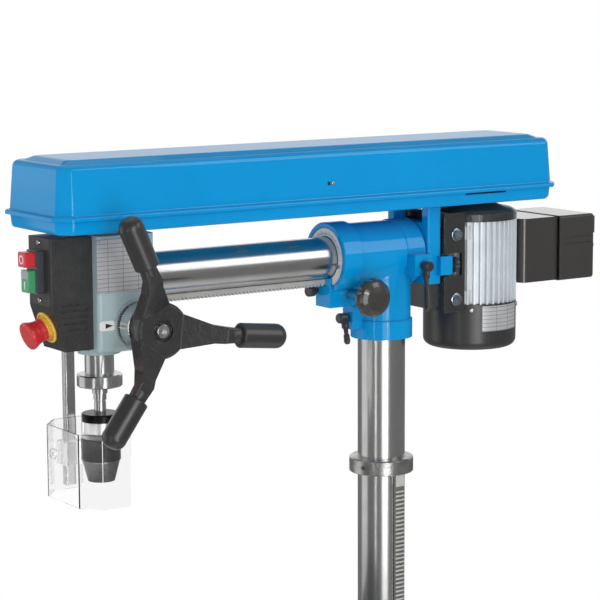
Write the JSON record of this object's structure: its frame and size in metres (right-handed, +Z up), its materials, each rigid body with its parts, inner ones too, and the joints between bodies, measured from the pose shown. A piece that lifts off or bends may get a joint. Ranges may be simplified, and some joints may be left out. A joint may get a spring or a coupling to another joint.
{
  "type": "radial pillar drill",
  "caption": "Floor-standing radial drill: a head on a sliding, tilting ram carried by a column, with a belt cover, a rear motor, a tilting work table and a chuck guard.",
  "frame": {"origin": "underside of the base on the column's axis", "axes": "+Z up the column, -Y towards the operator and the drilling head, +X to the operator's right"},
  "size_m": [0.3453, 0.955, 1.6162],
  "materials": {
    "blue_paint": "gloss enamel",
    "grey_paint": "satin enamel",
    "black_paint": "satin enamel",
    "black_plastic": "moulded, matt",
    "red_plastic": "moulded, gloss",
    "green_plastic": "moulded, gloss",
    "yellow_plastic": "moulded, gloss",
    "clear_sheet": "clear bent sheet",
    "ground_steel": "ground",
    "bright_steel": "plated",
    "dark_steel": "blackened",
    "aluminium": "as cast",
    "cast_iron": "machined",
    "belt_rubber": "fabric-backed"
  },
  "bodies": {
    "stand": {"base_plate": "cast_iron", "column_socket": "blue_paint", "socket_bolts": "dark_steel", "column": "ground_steel", "rack_collar": "ground_steel"},
    "rack": {"column_rack": "ground_steel"},
    "table_arm": {"table_bracket": "blue_paint"},
    "table_clamp": {"table_clamp_lever": "black_paint"},
    "lift_shaft": {"lift_pinion": "ground_steel", "lift_crank": "black_plastic"},
    "knuckle": {"table_knuckle": "blue_paint"},
    "work_table": {"table": "cast_iron"},
    "swivel": {"carriage": "blue_paint"},
    "column_lock": {"column_lock_lever": "black_paint"},
    "ram_lock": {"ram_lock_lever": "black_paint"},
    "ram_shaft": {"ram_pinion": "ground_steel", "ram_knob": "black_plastic"},
    "ram_key": {"ram_rack": "ground_steel"},
    "ram": {"ram_tube": "ground_steel", "head_casting": "grey_paint", "switch_cover": "black_plastic", "switch_body": "black_plastic", "estop_collar": "yellow_plastic", "spring_cap": "black_plastic", "return_spring": "dark_steel", "cover_tray": "blue_paint", "lid_hinge_pins": "bright_steel", "pulley_bearings": "bright_steel", "rear_bracket": "blue_paint", "drive_belt": "belt_rubber"},
    "lid": {"cover_lid": "blue_paint"},
    "start": {"start_button": "green_plastic"},
    "stop": {"stop_button": "red_plastic"},
    "estop": {"estop_button": "red_plastic"},
    "quill_slide": {"quill": "ground_steel", "quill_bearings": "bright_steel"},
    "feed": {"feed_pinion": "ground_steel", "feed_hub": "black_paint", "feed_grips": "black_plastic"},
    "depth_stop": {"depth_ring": "dark_steel"},
    "spindle_turning": {"spindle": "ground_steel", "chuck_body": "bright_steel"},
    "chuck_turning": {"chuck_sleeve": "dark_steel"},
    "jaw_1": {"chuck_jaw_1": "bright_steel"},
    "jaw_2": {"chuck_jaw_2": "bright_steel"},
    "jaw_3": {"chuck_jaw_3": "bright_steel"},
    "front_pulley": {"spindle_pulley": "aluminium"},
    "motor": {"motor_mount": "black_paint", "motor_housing": "aluminium", "motor_end_shield": "black_paint", "fan_cover": "black_plastic", "terminal_box": "black_plastic", "terminal_box_lid": "black_plastic", "mount_bolts": "bright_steel"},
    "rotor": {"motor_rotor": "ground_steel", "motor_pulley": "aluminium"},
    "belt_lock": {"tension_knob": "black_plastic"},
    "guard_arm": {"guard_post": "bright_steel"},
    "guard": {"guard_clamp": "clear_sheet", "chuck_guard": "clear_sheet"}
  },
  "joints": [
    {"name": "table_swing", "type": "hinge", "parent": "stand", "child": "rack", "pos_m": [0, 0, 0.812], "axis": [0, 0, 1], "range_deg": [-180, 180]},
    {"name": "table_lift", "type": "slide", "parent": "rack", "child": "table_arm", "axis": [0, 0, 1], "range_m": [-0.56, 0.1]},
    {"name": "table_clamp_turn", "type": "hinge", "parent": "table_arm", "child": "table_clamp", "pos_m": [-0.06382, -0.00784, 0.812], "axis": [-0.9925, -0.1219, 0], "range_deg": [-60, 60]},
    {"name": "lift_crank_turn", "type": "hinge", "parent": "table_arm", "child": "lift_shaft", "pos_m": [0.0535, 0.00657, 0.812], "axis": [-0.1219, 0.9925, 0], "range_deg": [-415, 2300]},
    {"name": "table_tilt", "type": "hinge", "parent": "table_arm", "child": "knuckle", "pos_m": [0.01267, -0.10322, 0.812], "axis": [-0.1219, 0.9925, 0], "range_deg": [-45, 45]},
    {"name": "table_turn", "type": "hinge", "parent": "knuckle", "child": "work_table", "pos_m": [0.03242, -0.26402, 0.87], "axis": [0, 0, 1], "range_deg": [-180, 180]},
    {"name": "carriage_swivel", "type": "hinge", "parent": "stand", "child": "swivel", "pos_m": [0, 0, 1.37], "axis": [0, 0, 1], "range_deg": [-180, 180]},
    {"name": "column_lock_turn", "type": "hinge", "parent": "swivel", "child": "column_lock", "pos_m": [0, -0.0613, 1.359], "axis": [0, -1, 0], "range_deg": [-80, 20]},
    {"name": "ram_lock_turn", "type": "hinge", "parent": "swivel", "child": "ram_lock", "pos_m": [0.0663, 0.027, 1.4355], "axis": [1, 0, 0], "range_deg": [-40, 50]},
    {"name": "ram_slide", "type": "slide", "parent": "swivel", "child": "ram_key", "axis": [0, 1, 0], "range_m": [0, 0.285]},
    {"name": "ram_knob_turn", "type": "hinge", "parent": "swivel", "child": "ram_shaft", "pos_m": [0, -0.0685, 1.3972], "axis": [1, 0, 0], "range_deg": [-1180, 10]},
    {"name": "head_tilt", "type": "hinge", "parent": "ram_key", "child": "ram", "pos_m": [0, 0, 1.45], "axis": [0, 1, 0], "range_deg": [-45, 45]},
    {"name": "lid_open", "type": "hinge", "parent": "ram", "child": "lid", "pos_m": [-0.094, -0.155, 1.5385], "axis": [0, -1, 0], "range_deg": [0, 100]},
    {"name": "start_press", "type": "slide", "parent": "ram", "child": "start", "axis": [0, 1, 0], "range_m": [0, 0.003], "stiffness_N_per_m": 400},
    {"name": "stop_press", "type": "slide", "parent": "ram", "child": "stop", "axis": [0, 1, 0], "range_m": [0, 0.003], "stiffness_N_per_m": 400},
    {"name": "estop_press", "type": "slide", "parent": "ram", "child": "estop", "axis": [0, 0.9471, 0.3208], "range_m": [0, 0.003], "stiffness_N_per_m": 800},
    {"name": "quill_feed", "type": "slide", "parent": "ram", "child": "quill_slide", "axis": [0, 0, -1], "range_m": [0, 0.075], "stiffness_N_per_m": 250, "springref_m": -0.25},
    {"name": "feed_turn", "type": "hinge", "parent": "ram", "child": "feed", "pos_m": [0, -0.441, 1.3905], "axis": [1, 0, 0], "range_deg": [-5, 312]},
    {"name": "depth_ring_turn", "type": "hinge", "parent": "feed", "child": "depth_stop", "pos_m": [0.06, -0.441, 1.3905], "axis": [1, 0, 0], "range_deg": [-180, 180]},
    {"name": "spindle_turn", "type": "hinge", "parent": "quill_slide", "child": "spindle_turning", "pos_m": [0, -0.473, 1.29], "axis": [0, 0, 1], "continuous": true},
    {"name": "chuck_turn", "type": "hinge", "parent": "spindle_turning", "child": "chuck_turning", "pos_m": [0, -0.473, 1.22], "axis": [0, 0, 1], "range_deg": [0, 720]},
    {"name": "jaw_1_slide", "type": "slide", "parent": "spindle_turning", "child": "jaw_1", "axis": [0, 0.2419, 0.9703], "range_m": [0, 0.024]},
    {"name": "jaw_2_slide", "type": "slide", "parent": "spindle_turning", "child": "jaw_2", "axis": [-0.2095, -0.121, 0.9703], "range_m": [0, 0.024]},
    {"name": "jaw_3_slide", "type": "slide", "parent": "spindle_turning", "child": "jaw_3", "axis": [0.2095, -0.121, 0.9703], "range_m": [0, 0.024]},
    {"name": "front_pulley_turn", "type": "hinge", "parent": "ram", "child": "front_pulley", "pos_m": [0, -0.473, 1.562], "axis": [0, 0, 1], "continuous": true},
    {"name": "motor_slide", "type": "slide", "parent": "ram", "child": "motor", "axis": [0, 1, 0], "range_m": [-0.006, 0]},
    {"name": "rotor_turn", "type": "hinge", "parent": "motor", "child": "rotor", "pos_m": [0, 0.165, 1.45], "axis": [0, 0, 1], "continuous": true},
    {"name": "tension_knob_turn", "type": "hinge", "parent": "ram", "child": "belt_lock", "pos_m": [0.053, 0.09, 1.43075], "axis": [0, 1, 0], "range_deg": [-180, 180]},
    {"name": "guard_swing", "type": "hinge", "parent": "ram", "child": "guard_arm", "pos_m": [-0.084, -0.476, 1.35], "axis": [0, 0, -1], "range_deg": [0, 100]},
    {"name": "guard_height", "type": "slide", "parent": "guard_arm", "child": "guard", "axis": [0, 0, 1], "range_m": [-0.03, 0.05]}
  ],
  "couplings": [
    {"joint": "lift_crank_turn", "follows": "table_lift", "rad_per_m": -71.429},
    {"joint": "ram_knob_turn", "follows": "ram_slide", "rad_per_m": -71.429},
    {"joint": "feed_turn", "follows": "quill_feed", "rad_per_m": 71.429},
    {"joint": "spindle_turn", "follows": "rotor_turn", "ratio": 1},
    {"joint": "front_pulley_turn", "follows": "rotor_turn", "ratio": 1},
    {"joint": "jaw_1_slide", "follows": "chuck_turn", "m_per_rad": 0.0019099},
    {"joint": "jaw_2_slide", "follows": "chuck_turn", "m_per_rad": 0.0019099},
    {"joint": "jaw_3_slide", "follows": "chuck_turn", "m_per_rad": 0.0019099}
  ]
}
